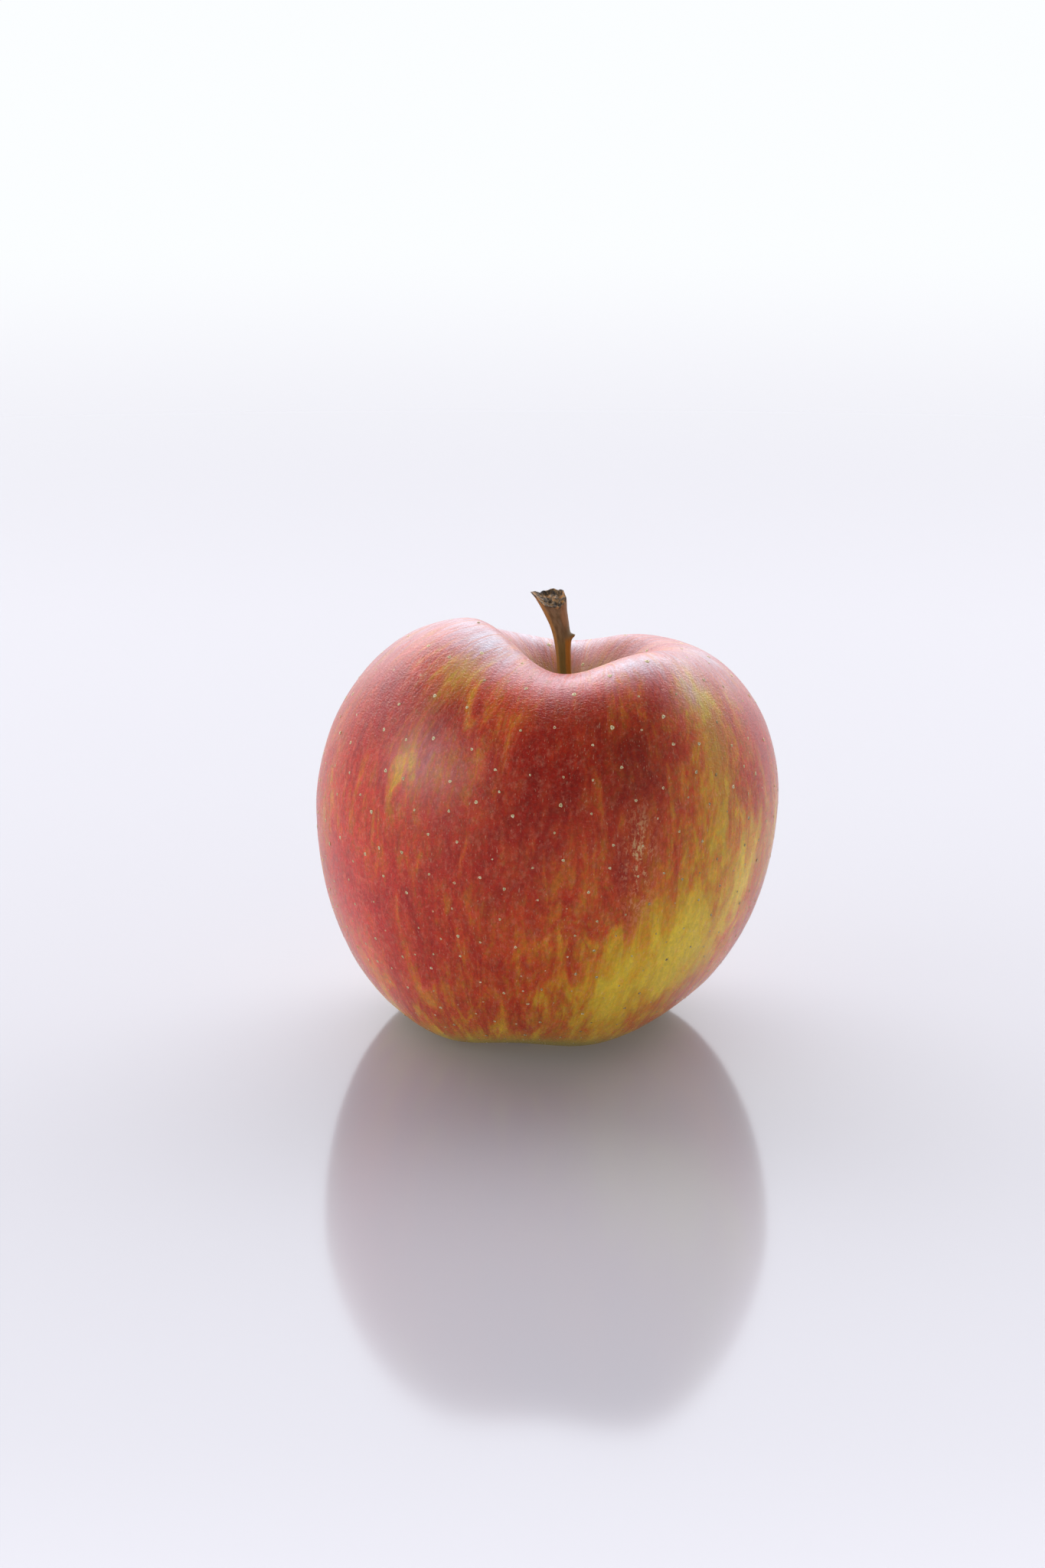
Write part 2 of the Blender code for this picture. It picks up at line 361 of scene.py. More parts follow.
def skin_finish():
    made = Finish("waxy_skin")
    around = made.attribute("around", "Vector")
    broad = made.noise(made.stretched(around, (1, 1, 0.45)), 0.0056, 6, 0.66, 0.9)
    narrow = made.noise(made.stretched(around, (1, 1, 0.20)), 0.0019, 6, 0.68, 1.3)
    mottle = made.noise(made.stretched(around, (1, 1, 0.8)), 0.0021, 7, 0.74, 0.9)
    grain = made.noise(made.stretched(around, (1, 1, 0.75)), 0.0005, 4, 0.7, 0.6)

    blushed = made.attribute("blush", "Fac")
    variation = made.total(
        made.swing(broad, BROAD_SWING),
        made.swing(narrow, NARROW_SWING),
        made.swing(mottle, MOTTLE_SWING),
        made.swing(grain, GRAIN_SWING),
    )
    variety = made.step(blushed, 0.05, 0.50, 0.62, 1.0)
    redness = made.total(blushed, made.maths("MULTIPLY", variation, variety))
    redness = made.maths("SMOOTH_MAX", redness, made.maths("SUBTRACT", blushed, MOST_PALING), 0.10)
    colour = made.ramp(redness, RED_STOPS)
    rosy = made.maths("MULTIPLY", made.attribute("rosy", "Fac"), made.step(redness, 0.35, 0.65))
    colour = made.blend(rosy, colour, CRIMSON)
    cells = made.noise(made.stretched(around, (1, 1, 0.8)), 0.0009, 5, 0.7, 0.4)
    colour = made.blend(made.step(cells, 0.46, 0.74, 0.0, 0.22), colour, PEACH_CELLS)

    shade = made.swing(made.step(made.total(mottle, grain), 0.74, 1.26), 0.29)
    shade = made.total(0.97, made.maths("MULTIPLY", shade, variety))
    # Multiplies in the patches of the skin's own tone and of painted light and shade.
    shade = made.maths("MULTIPLY", shade, made.attribute("tone_and_painted_light", "Fac"))
    shade = made.add("CombineColor", shade, shade, shade).outputs[0]
    colour = made.blend(1.0, colour, shade, "MULTIPLY")

    colour = made.blend(made.attribute("olive", "Fac"), colour, OLIVE)
    # Pales the skin in patches: real waxy bloom, and painted sheen and highlights where the back light grazes
    # the rim and the edges.
    patchy = made.step(made.total(narrow, mottle, narrow), 1.1, 1.9, 0.45, 1.40)
    bloom_and_sheen = made.maths("MULTIPLY", made.attribute("bloom_and_sheen", "Fac"), patchy)
    colour = made.blend(bloom_and_sheen, colour, BLOOM_AND_PAINTED_SHEEN)
    fleck = made.step(made.noise(made.stretched(around, (1, 1, 0.3)), 0.00022, 1), 0.66, 0.76)
    colour = made.blend(made.maths("MULTIPLY", fleck, 0.22), colour, PALE_FLECK)
    ragged = made.step(made.total(narrow, mottle, grain), 1.50, 1.72)
    scuffed = made.maths("MULTIPLY", made.attribute("scuff", "Fac"), ragged)
    colour = made.blend(scuffed, colour, SCUFF_TAN)

    here = made.add("TexCoord").outputs["Object"]
    leather = made.noise(here, 0.00042, 3, 0.55)
    wrinkle = made.noise(made.stretched(around, (0.35, 0.35, 1)), 0.00034, 3, 0.6, 0.5)
    relief = made.bump(leather, 0.00009)
    relief = made.bump(wrinkle, 0.00008, relief)
    relief = made.bump(made.noise(here, 0.00014, 2), 0.000012, relief)
    roughness = made.total(SKIN_ROUGHNESS, made.swing(mottle, 0.08), made.swing(leather, 0.05))
    return made.finish(Base_Color=colour, Roughness=roughness, Normal=relief, IOR=SKIN_IOR)


CORK_PALE = (0.62, 0.52, 0.27)
CORK_DARK = (0.20, 0.13, 0.035)
CORK_DUST = (0.85, 0.78, 0.55)
CORK_PIT = (0.05, 0.03, 0.008)


def cork_finish():
    made = Finish("lenticel_cork")
    here = made.add("TexCoord").outputs["Object"]
    cork = made.blend(made.attribute("tone", "Fac"), CORK_PALE, CORK_DARK)
    cork = made.blend(made.step(made.noise(here, 0.00025), 0.45, 0.7), cork, CORK_DUST)
    cork = made.blend(made.attribute("pit", "Fac"), cork, CORK_PIT)
    relief = made.bump(made.noise(here, 0.0001, 3), 0.00003)
    return made.finish(Base_Color=cork, Roughness=0.75, Normal=relief)


BARK_OLIVE = (0.155, 0.118, 0.032)
BARK_GREY = (0.21, 0.155, 0.090)
BARK_BROWN = (0.12, 0.082, 0.038)
BARK_FIBRE = (0.07, 0.04, 0.015)
# Painted rim light: the left and right edges of the stem are lighter where the back light catches them, and
# the right one changes at the nub.
BARK_LEFT_PAINTED_RIM_LIGHT = (0.36, 0.205, 0.060)
BARK_RIGHT_PAINTED_RIM_LIGHT_LOW = (0.34, 0.145, 0.012)
BARK_RIGHT_PAINTED_RIM_LIGHT_HIGH = (0.36, 0.20, 0.10)
# The torn end's wood, from its pits to its splinters.
WOUND_STOPS = (
    (0.30, (0.012, 0.008, 0.005)),
    (0.46, (0.07, 0.045, 0.022)),
    (0.56, (0.30, 0.18, 0.075)),
    (0.68, (0.60, 0.25, 0.05)),
)


def bark_finish():
    made = Finish("stem_bark")
    along = made.attribute("along", "Vector")
    fibres = made.noise(made.stretched(along, (1, 1, 0.12)), 0.00022, 4, 0.65)
    patches = made.noise(made.stretched(along, (1, 1, 0.4)), 0.0012, 3)
    share = made.attribute("share", "Fac")
    side = made.total(made.attribute("side", "Fac"), made.swing(patches, 0.25))

    brown = made.blend(made.step(patches, 0.4, 0.65), BARK_GREY, BARK_BROWN)
    high = made.step(made.total(share, made.swing(patches, 0.12)), 0.62, 0.82)
    colour = made.blend(high, BARK_OLIVE, brown)
    # Painted rim light along the stem's left and right edges, the right one below and above the nub.
    colour = made.blend(made.step(side, -0.50, -0.85), colour, BARK_LEFT_PAINTED_RIM_LIGHT)
    right_rim_light_low = made.maths("MULTIPLY", made.step(side, 0.15, 0.45), made.step(share, 0.74, 0.69))
    colour = made.blend(right_rim_light_low, colour, BARK_RIGHT_PAINTED_RIM_LIGHT_LOW)
    right_rim_light_high = made.maths("MULTIPLY", made.step(side, 0.2, 0.6), made.step(share, 0.76, 0.84, 0.0, 0.7))
    colour = made.blend(right_rim_light_high, colour, BARK_RIGHT_PAINTED_RIM_LIGHT_HIGH)
    colour = made.blend(made.step(fibres, 0.55, 0.75, 0.0, 0.6), colour, BARK_FIBRE)

    crumbs = made.noise(made.add("TexCoord").outputs["Object"], 0.0007, 4, 0.65)
    colour = made.blend(made.attribute("torn", "Fac"), colour, made.ramp(crumbs, WOUND_STOPS))
    relief = made.bump(crumbs, 0.00012, made.bump(fibres, 0.0001))
    return made.finish(Base_Color=colour, Roughness=0.62, Normal=relief)


def dried_finish(name, dark, light, size):
    """Dry, downy plant matter with folds of a size in metres."""
    made = Finish(name)
    folds = made.noise(made.add("TexCoord").outputs["Object"], size, 4, 0.65)
    colour = made.blend(made.step(folds, 0.35, 0.7), dark, light)
    relief = made.bump(folds, size / 3)
    return made.finish(Base_Color=colour, Roughness=0.85, Normal=relief, Sheen_Weight=0.3)


# --- The fruit ---------------------------------------------------------------------------------------------

SKIN_COLUMNS = 320
SKIN_ROWS = 176
# How finely the skin's length is measured.
MERIDIANS = 8
MERIDIAN_STEPS = 1200
# Soft lumps on the skin: (height, size, seed).
SKIN_LUMPS = ((0.00007, 0.0065, 1), (0.00003, 0.0026, 2))

# A patch is (azimuth in degrees, station, amount, spread in degrees, spread in stations). These say where
# the skin is redder or less red than its usual blush. The base and the cavity lose some of it all round.
BLUSH = 0.62
BLUSH_LOST_AT_BASE = 0.55
BLUSH_LOST_IN_CAVITY = 0.35
BLUSH_PATCHES = (
    (220, 1.52, 0.13, 12, 0.17),
    (270, 1.62, 0.27, 12, 0.38),
    (252, 2.02, 0.18, 8, 0.16),
    (226, 2.12, 0.10, 18, 0.25),
    (209, 1.60, 0.24, 11, 0.22),
    (210, 2.16, 0.20, 11, 0.18),
    (230, 1.72, -0.20, 10, 0.13),
    (232, 1.30, -0.28, 11, 0.12),
    (311, 1.40, -0.30, 8, 0.12),
    (312, 1.80, -0.34, 8, 0.22),
    (308, 2.30, -0.58, 17, 0.24),
    (288, 2.46, -0.44, 12, 0.21),
    (270, 2.40, -0.22, 8, 0.14),
    (331, 2.10, -0.32, 11, 0.20),
    (332, 1.45, -0.22, 10, 0.15),
    (341, 1.64, 0.26, 8, 0.17),
    (257, 1.47, -0.16, 7, 0.12),
    (199, 1.95, -0.16, 6, 0.22),
    (317, 1.50, -0.18, 5, 0.25),
    (298, 2.44, -0.10, 18, 0.14),
    (352, 2.15, -0.25, 10, 0.18),
    (20, 1.60, 0.20, 20, 0.50),
    (62, 2.10, -0.50, 20, 0.40),
    (100, 1.70, 0.25, 30, 0.50),
    (150, 2.20, -0.40, 22, 0.35),
    (165, 1.50, 0.10, 20, 0.40),
)

# Where the red leans to crimson.
ROSY_PATCHES = (
    (212, 2.05, 0.38, 32, 0.55),
    (268, 1.16, 0.45, 40, 0.14),
    (345, 1.60, 0.35, 14, 0.40),
    (110, 1.80, 0.30, 50, 0.60),
)

# Where the colour is lighter or deeper than its redness alone makes it: partly the skin's own tone and partly
# painted light and shade, lighter low on the left and the right.
TONE_AND_PAINTED_LIGHT_PATCHES = (
    (212, 2.35, 0.36, 17, 0.45),
    (232, 1.46, -0.26, 10, 0.14),
    (290, 1.62, -0.38, 12, 0.24),
    (270, 1.34, -0.28, 11, 0.13),
    (266, 1.88, -0.12, 16, 0.30),
    (333, 2.45, 0.38, 12, 0.28),
    (306, 1.28, 0.16, 10, 0.10),
    (280, 2.55, -0.10, 20, 0.15),
    (258, 1.10, -0.18, 12, 0.10),
)

# Where the skin is paled towards a pale pink-white: partly a real waxy bloom, partly painted sheen and
# painted highlights of the back light along the rim and the edges, and a painted soft highlight low on the
# left. The cavity and the shoulder have some all round.
BLOOM_AND_SHEEN = 0.19
BLOOM_AND_SHEEN_PATCHES = (
    (304, 1.14, 0.34, 18, 0.16),
    (288, 1.07, 0.38, 13, 0.08),
    (206, 1.05, 0.32, 20, 0.09),
    (350, 1.17, 0.22, 14, 0.15),
    (272, 1.11, 0.10, 12, 0.05),
    (311, 1.36, 0.30, 7, 0.12),
    (230, 1.05, 0.62, 15, 0.13),
    (190, 1.27, 0.36, 15, 0.28),
    (340, 1.25, 0.36, 20, 0.30),
    (235, 1.68, 0.20, 12, 0.12),
    (75, 0.95, 0.45, 50, 0.20),
    (120, 0.95, 0.35, 30, 0.20),
)

# Where the skin stays green. The cavity's lower wall and the base do so all round.
CAVITY_OLIVE = 0.75
BASE_OLIVE = 0.7
OLIVE_PATCHES = (
    (278, 2.80, 0.6, 24, 0.10),
    (316, 1.65, 0.40, 5, 0.34),
    (232, 1.28, 0.40, 7, 0.10),
)

# Where the skin is scuffed.
SCUFF_PATCHES = ((291, 2.02, 1.0, 3.2, 0.15),)


def patch_value(patches, station, azimuth):
    total = 0
    for centre, middle, amount, width, height in patches:
        away = turned(azimuth, centre) / width
        total = total + amount * np.exp(-(away**2) - ((station - middle) / height) ** 2)
    return total


def blush(station, azimuth):
    value = BLUSH + patch_value(BLUSH_PATCHES, station, azimuth)
    value = value - BLUSH_LOST_AT_BASE * smooth(2.45, 2.95, station)
    return value - BLUSH_LOST_IN_CAVITY * smooth(0.75, 0.05, station)


def even_stations(rows):
    """(stations from the basin's middle to the cavity's floor at even lengths along the skin, its length)."""
    fine = np.linspace(4, 0, MERIDIAN_STEPS)
    length = np.zeros_like(fine)
    for azimuth in np.linspace(0, 2 * math.pi, MERIDIANS, False):
        path = skin(fine, np.full_like(fine, azimuth))
        length[1:] += np.cumsum(np.linalg.norm(np.diff(path, axis=0), axis=1)) / MERIDIANS
    return np.interp(np.linspace(0, length[-1], rows), length, fine), length[-1]


def unwrap_skin(mesh):
    """Lays the skin out by azimuth and by row, with the seam at the first column, for baking."""
    layer = mesh.uv_layers.new(name="OFBake")
    total_rows = SKIN_ROWS + 1
    count = total_rows * SKIN_COLUMNS
    for face in mesh.polygons:
        ring_points = [index for index in face.vertices if index < count]
        wraps = {index % SKIN_COLUMNS for index in ring_points} == {0, SKIN_COLUMNS - 1}
        for loop_index, index in zip(face.loop_indices, face.vertices):
            if index < count:
                column, row = index % SKIN_COLUMNS, index // SKIN_COLUMNS + 1
                column += SKIN_COLUMNS if wraps and column == 0 else 0
            else:
                row = 0 if index == count else total_rows + 1
                column = SKIN_COLUMNS - 0.5 if wraps else min(i % SKIN_COLUMNS for i in ring_points) + 0.5
            layer.data[loop_index].uv = (column / SKIN_COLUMNS, row / (total_rows + 1))


def with_lumps(points, station):
    """The skin's grid with soft lumps, but none on the ring it rests on or in the basin's middle."""
    outwards = np.cross(np.roll(points, -1, 1) - np.roll(points, 1, 1), np.gradient(points, axis=0))
    outwards /= np.linalg.norm(outwards, axis=-1, keepdims=True) + 1e-12
    relief = sum(height * lumps(points, size, seed) for height, size, seed in SKIN_LUMPS)
    resting = smooth(2.70, 2.85, station) * smooth(3.30, 3.15, station)
    wanted = smooth(3.9, 3.7, station) * (1 - resting)
    return points + outwards * (relief * wanted)[..., None]


def padded_out(values):
    """Values for the skin's grid, and those of its nearest rows for the socket and the two tips."""
    flat = values.reshape(SKIN_ROWS * SKIN_COLUMNS, -1)
    more = np.concatenate([flat, flat[-SKIN_COLUMNS:], flat[:1], flat[-1:]])
    return more if values.ndim == 3 else more[:, 0]


def paint_skin(mesh, station, azimuth, lengths):
    """Gives each point of the skin what its material reads there."""
    height = np.broadcast_to(lengths[:, None], azimuth.shape)
    around = np.stack([EQUATOR_RADIUS * np.cos(azimuth), EQUATOR_RADIUS * np.sin(azimuth), height], -1)
    olive = CAVITY_OLIVE * smooth(0.72, 0.30, station) + BASE_OLIVE * smooth(2.66, 2.85, station)
    olive = olive + patch_value(OLIVE_PATCHES, station, azimuth)
    bloom_and_sheen = BLOOM_AND_SHEEN * smooth(1.34, 1.14, station) + patch_value(BLOOM_AND_SHEEN_PATCHES, station, azimuth)
    add_attribute(mesh, "around", padded_out(around))
    add_attribute(mesh, "blush", padded_out(blush(station, azimuth)))
    add_attribute(mesh, "rosy", padded_out(patch_value(ROSY_PATCHES, station, azimuth)))
    add_attribute(mesh, "tone_and_painted_light", padded_out(1 + patch_value(TONE_AND_PAINTED_LIGHT_PATCHES, station, azimuth)))
    add_attribute(mesh, "olive", padded_out(olive.clip(0, 1)))
    add_attribute(mesh, "bloom_and_sheen", padded_out(bloom_and_sheen.clip(0, 1)))
    add_attribute(mesh, "scuff", padded_out(patch_value(SCUFF_PATCHES, station, azimuth)))


def make_skin():
    """Makes the skin with its stem socket. Returns the shift that brings the formula's skin into place."""
    stations, length = even_stations(SKIN_ROWS)
    azimuths = np.linspace(0, 2 * math.pi, SKIN_COLUMNS, False)
    station, azimuth = np.meshgrid(stations, azimuths, indexing="ij")
    points = skin(station, azimuth)
    middle = (points[..., :2].min((0, 1)) + points[..., :2].max((0, 1))) / 2
    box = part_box("fruit")
    shift = np.array([(box[0][i] + box[1][i]) / 2 - middle[i] for i in (0, 1)] + [0.0])
    points = with_lumps(points, station) + shift

    basin_tip = np.array([*BASE_CENTRE, BASIN_DEPTH]) + shift
    socket_tip = np.array([*CAVITY_CENTRE, cavity_floor_height() - SOCKET_DEPTH]) + shift
    ring = np.stack([np.cos(azimuths), np.sin(azimuths), np.zeros(SKIN_COLUMNS)], -1)
    foot = socket_tip + (STEM_FOOT_RADIUS + GAP) * ring
    points = np.concatenate([points.reshape(-1, 3), foot, [basin_tip, socket_tip]])
    count = SKIN_ROWS * SKIN_COLUMNS
    faces = lathe_faces(SKIN_ROWS + 1, SKIN_COLUMNS)
    faces += fan_faces(0, SKIN_COLUMNS, count + SKIN_COLUMNS, False)
    faces += fan_faces(count, SKIN_COLUMNS, count + SKIN_COLUMNS + 1, True)
    piece = mesh_piece("fruit_skin", points.tolist(), faces, skin_finish())
    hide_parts("fruit")
    unwrap_skin(piece.data)
    paint_skin(piece.data, station, azimuth, np.linspace(0, length, SKIN_ROWS))
    return shift


# --- The lenticels -----------------------------------------------------------------------------------------

LENTICEL_TRIES = 9000
LENTICEL_ROWS = 400
LENTICEL_SIDES = 12
LENTICEL_RADIUS = 0.00034
# The stretch of stations that has lenticels, and the usual room round one at some stations: they are
# closer together towards the base.
LENTICEL_STRETCH = (0.55, 2.93)
ROOM_STATIONS = (0.9, 1.5, 2.2, 2.8)
ROOM_SIZES = (0.0072, 0.0054, 0.0040, 0.0034)
# A section from the buried edge to the middle: (share of its radius, height as a share of its radius).
LENTICEL_SECTION = ((1.0, -0.10), (0.9, 0.07), (0.68, 0.20), (0.42, 0.19), (0.24, 0.06), (0.10, -0.02))


def skin_frame(station, azimuth, shift):
    """(points, outward directions, directions round the fruit) of places on the skin, in the row frame."""
    step = 1e-3
    here = skin(station, azimuth)
    round_it = skin(station, azimuth + step) - here
    inwards = skin(station - step, azimuth) - here
    outwards = np.cross(round_it, inwards)
    outwards /= np.linalg.norm(outwards, axis=-1, keepdims=True)
    round_it /= np.linalg.norm(round_it, axis=-1, keepdims=True)
    return here + shift, outwards, round_it


def scattered_lenticels(random):
    """(stations, azimuths) spread at random over the skin that shows."""
    stations, _ = even_stations(LENTICEL_ROWS)
    rows = random.uniform(0, LENTICEL_ROWS - 1, LENTICEL_TRIES)
    station = np.interp(rows, np.arange(LENTICEL_ROWS), stations)
    azimuth = random.uniform(0, 2 * math.pi, LENTICEL_TRIES)
    points = skin(station, azimuth)
    kept = []
    for i in range(LENTICEL_TRIES):
        if not LENTICEL_STRETCH[0] < station[i] < LENTICEL_STRETCH[1]:
            continue
        room = np.interp(station[i], ROOM_STATIONS, ROOM_SIZES) * random.uniform(0.7, 1.2)
        if all(np.linalg.norm(points[i] - points[j]) > room for j in kept):
            kept.append(i)
    return station[kept], azimuth[kept]


def make_lenticels(shift):
    """The corky pores: low domes with a dark pit, each rooted just under the skin."""
    random = np.random.default_rng(SEED)
    station, azimuth = scattered_lenticels(random)
    middle, outwards, round_it = skin_frame(station, azimuth, shift)
    along = np.cross(outwards, round_it)
    paleness = smooth(0.25, 0.6, blush(station, azimuth))
    turns = np.linspace(0, 2 * math.pi, LENTICEL_SIDES, False)
    rings = len(LENTICEL_SECTION)
    points, faces, tones, pits = [], [], [], []
    for i in range(len(station)):
        radius = LENTICEL_RADIUS * random.uniform(0.6, 1.15) * np.interp(station[i], (1.2, 2.4), (1.1, 0.75))
        flat, lean = random.uniform(0.7, 1.0), random.uniform(0, math.pi)
        height = random.uniform(0.5, 1.1)
        ragged = 1 + 0.12 * np.cos(3 * turns + random.uniform(0, 6))
        ragged = ragged + 0.07 * np.cos(5 * turns + random.uniform(0, 6))
        first = len(points)
        for share, rise in LENTICEL_SECTION:
            x = radius * share * ragged * np.cos(turns)
            y = radius * share * ragged * flat * np.sin(turns)
            a, b = x * math.cos(lean) - y * math.sin(lean), x * math.sin(lean) + y * math.cos(lean)
            ring = middle[i] + a[:, None] * round_it[i] + b[:, None] * along[i]
            points.extend((ring + outwards[i] * radius * rise * height).tolist())
            pits.extend([1 - smooth(0.08, 0.34, share)] * LENTICEL_SIDES)
        points.append((middle[i] - outwards[i] * radius * 0.05).tolist())
        points.append((middle[i] - outwards[i] * radius * 0.30).tolist())
        pits.extend((1.0, 0.0))
        tones.extend([1 - paleness[i] * random.uniform(0.75, 1.0)] * (len(points) - first))
        faces += lathe_faces(rings, LENTICEL_SIDES, first)
        faces += fan_faces(first + (rings - 1) * LENTICEL_SIDES, LENTICEL_SIDES, len(points) - 2, True)
        faces += fan_faces(first, LENTICEL_SIDES, len(points) - 1, False)
    piece = mesh_piece("lenticels", points, faces, cork_finish())
    add_attribute(piece.data, "tone", np.array(tones))
    add_attribute(piece.data, "pit", np.array(pits))


# --- The stem ----------------------------------------------------------------------------------------------

# The CAD model's values.
STEM_LENGTH = 0.0267
STEM_RADIUS = 0.00112
STEM_END_RADIUS = 0.0025
STEM_LEAN = (-0.0032, -0.0022)
STEM_BEND = 3.7
STEM_FLARE = 5.5
STEM_FLATNESS = 0.86

# What the CAD model leaves out: a kink to the right near the top, a bud's nub, and the torn rim's shape.
STEM_KINK = 0.0004
NUB_AZIMUTH = 352
NUB_SPREAD = 17
NUB_SHARE = 0.72
NUB_HEIGHT = 0.00075
NUB_SWELLING = 0.00022
RIM_CRUMBLE = 0.0005
END_DEPTH = 0.0006
# Where the torn rim stands out along the stem, as lobes.
TORN_RIM = (
    (180, 0.0020, 40),
    (60, -0.0003, 30),
    (0, -0.0011, 34),
    (136, 0.0001, 20),
    (292, -0.0017, 45),
    (232, -0.0003, 20),
)
STEM_SIDES = 64
STEM_ROWS = 150
STEM_END_RINGS = 12
# The radius that the bark's fibres are drawn at, whatever the stem's own is there.
FIBRE_RADIUS = 0.0018


def stem_axis(share):
    """(middle, way along, way to the right, way to the back) of the stem at a share of its length."""
    bend, slope = share**STEM_BEND, STEM_BEND * share ** (STEM_BEND - 1) / STEM_LENGTH
    middle = Vector((
        CAVITY_CENTRE[0] + STEM_LEAN[0] * bend + STEM_KINK * smooth(0.5, 0.85, share),
        CAVITY_CENTRE[1] + STEM_LEAN[1] * bend,
        cavity_floor_height() + STEM_LENGTH * share,
    ))
    along = Vector((STEM_LEAN[0] * slope, STEM_LEAN[1] * slope, 1)).normalized()
    across = Vector((0, 1, 0)).cross(along).normalized()
    return tuple(np.array(v) for v in (middle, along, across, along.cross(across)))


def stem_radius(share):
    """(radius, how far the flare of the end has grown) at a share of the stem's length."""
    flare = share**STEM_FLARE
    radius = STEM_RADIUS + (STEM_END_RADIUS - STEM_RADIUS) * flare
    return radius + (STEM_FOOT_RADIUS - STEM_RADIUS) * (1 - share) ** STEM_FLARE, flare


def stem_ridges(share, azimuth):
    """Relief of the bark's fibres, as a share of the radius."""
    twist = azimuth + 0.5 * share
    ridges = 0.035 * np.cos(5 * twist + 0.7) + 0.022 * np.cos(9 * twist + 2.1 + 2 * share)
    cracks = np.maximum(np.cos(13 * twist + 3 * np.sin(7 * share)), 0) ** 6
    return ridges - 0.07 * cracks * smooth(0.6, 0.9, share)


def stem_ring(share, azimuths, rim):
    """Points round the stem at a share of its length, which is below 0 in the socket."""
    middle, along, across, back = stem_axis(max(share, 0))
    middle = middle + along * min(share, 0) * STEM_LENGTH
    radius, flare = stem_radius(max(share, 0))
    radius = radius * (1 + stem_ridges(share, azimuths))
    to_right = across * (radius * np.cos(azimuths))[:, None]
    to_back = back * (radius * np.sin(azimuths) * (1 - (1 - STEM_FLATNESS) * flare))[:, None]
    lift = along * (rim * smooth(0.86, 1.0, share))[:, None]
    return middle + to_right + lift + to_back


def with_nub(ring, share, azimuths):
    """A ring of the stem with the nub that a bud left, which points out and a little up."""
    away = np.abs(turned(azimuths, NUB_AZIMUTH)) / NUB_SPREAD
    swell = NUB_HEIGHT * np.exp(-(away**2) - ((share - NUB_SHARE) / 0.014) ** 2)
    swell += NUB_SWELLING * np.exp(-((away / 2.2) ** 2) - ((share - NUB_SHARE + 0.015) / 0.05) ** 2)
    out = ring - stem_axis(max(share, 0))[0]
    out[:, 2] = 0.35 * np.linalg.norm(out, axis=1)
    return ring + out / np.linalg.norm(out, axis=1, keepdims=True) * swell[:, None]


def torn_end(rim):
    """Rings from the torn rim, which is the stem's last ring, in to the end's pitted middle."""
    centre = rim.mean(0)
    along = stem_axis(1.0)[1]
    rings = []
    for number in range(1, STEM_END_RINGS):
        inward = number / STEM_END_RINGS
        ring = centre + (rim - centre) * (1 - inward)
        level = (ring - centre) @ along
        ring = ring - along * (level * 0.55 * inward)[:, None]
        pits = lumps(ring, 0.00075, 0) + 0.5 * lumps(ring, 0.0003, 0)
        drop = END_DEPTH * smooth(0.0, 0.35, inward) + END_DEPTH * np.maximum(-pits, -0.3)
        rings.append(ring - along * drop[:, None])
    return rings


def make_stem_piece(shift):
    azimuths = np.linspace(0, 2 * math.pi, STEM_SIDES, False)
    crumble = np.array([noise.noise(Vector((2.4 * math.cos(a), 2.4 * math.sin(a), 3.0))) for a in azimuths])
    rim = lobe_height(TORN_RIM, azimuths) + RIM_CRUMBLE * crumble
    shares = np.linspace(-(SOCKET_DEPTH - GAP) / STEM_LENGTH, 1, STEM_ROWS)
    rings = [with_nub(stem_ring(share, azimuths, rim), share, azimuths) for share in shares]
    rings += torn_end(rings[-1])
    points = np.concatenate([*rings, [rings[0].mean(0), rings[-1].mean(0)]]) + shift
    rows = len(rings)
    count = rows * STEM_SIDES
    faces = lathe_faces(rows, STEM_SIDES)
    faces += fan_faces(0, STEM_SIDES, count, False)
    faces += fan_faces(count - STEM_SIDES, STEM_SIDES, count + 1, True)
    piece = mesh_piece("stem_bark", points.tolist(), faces, bark_finish())
    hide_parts("stem")

    shares = np.append(shares, np.ones(rows - STEM_ROWS))
    fibres = np.stack(
        np.broadcast_arrays(
            FIBRE_RADIUS * np.cos(azimuths), FIBRE_RADIUS * np.sin(azimuths), (shares * STEM_LENGTH)[:, None]
        ),
        -1,
    ).reshape(-1, 3)
    add_attribute(piece.data, "along", np.concatenate([fibres, fibres[[0, -STEM_SIDES]]]))
    add_attribute(piece.data, "share", np.append(np.repeat(shares.clip(0), STEM_SIDES), (0, 1)))
    add_attribute(piece.data, "torn", np.append(np.repeat(smooth(0.985, 1.0, shares), STEM_SIDES), (0, 1)))
    add_attribute(piece.data, "side", np.append(np.tile(np.cos(azimuths), rows), (0, 0)))


# --- The dried flower --------------------------------------------------------------------------------------

SEPAL_ROOT_RADIUS = 0.0020
SEPAL_LENGTH = 0.0066
SEPAL_WIDTH = 0.0033
SEPAL_THICKNESS = 0.00045
SEPAL_DROOP = 0.0017
# Points round a sepal's section, and sections along it.
SEPAL_SIDES = 28
SEPAL_ROWS = 40
SEPAL_DARK = (0.10, 0.055, 0.022)
SEPAL_LIGHT = (0.36, 0.255, 0.14)
STAMEN_COUNT = 20
STAMEN_TUFT_RADIUS = 0.00135
STAMEN_TUFT_LENGTH = 0.0030
STAMEN_RADIUS = 0.00010
ANTHER_SWELLING = 0.00016
STAMEN_DARK = (0.035, 0.018, 0.008)
STAMEN_LIGHT = (0.16, 0.09, 0.04)


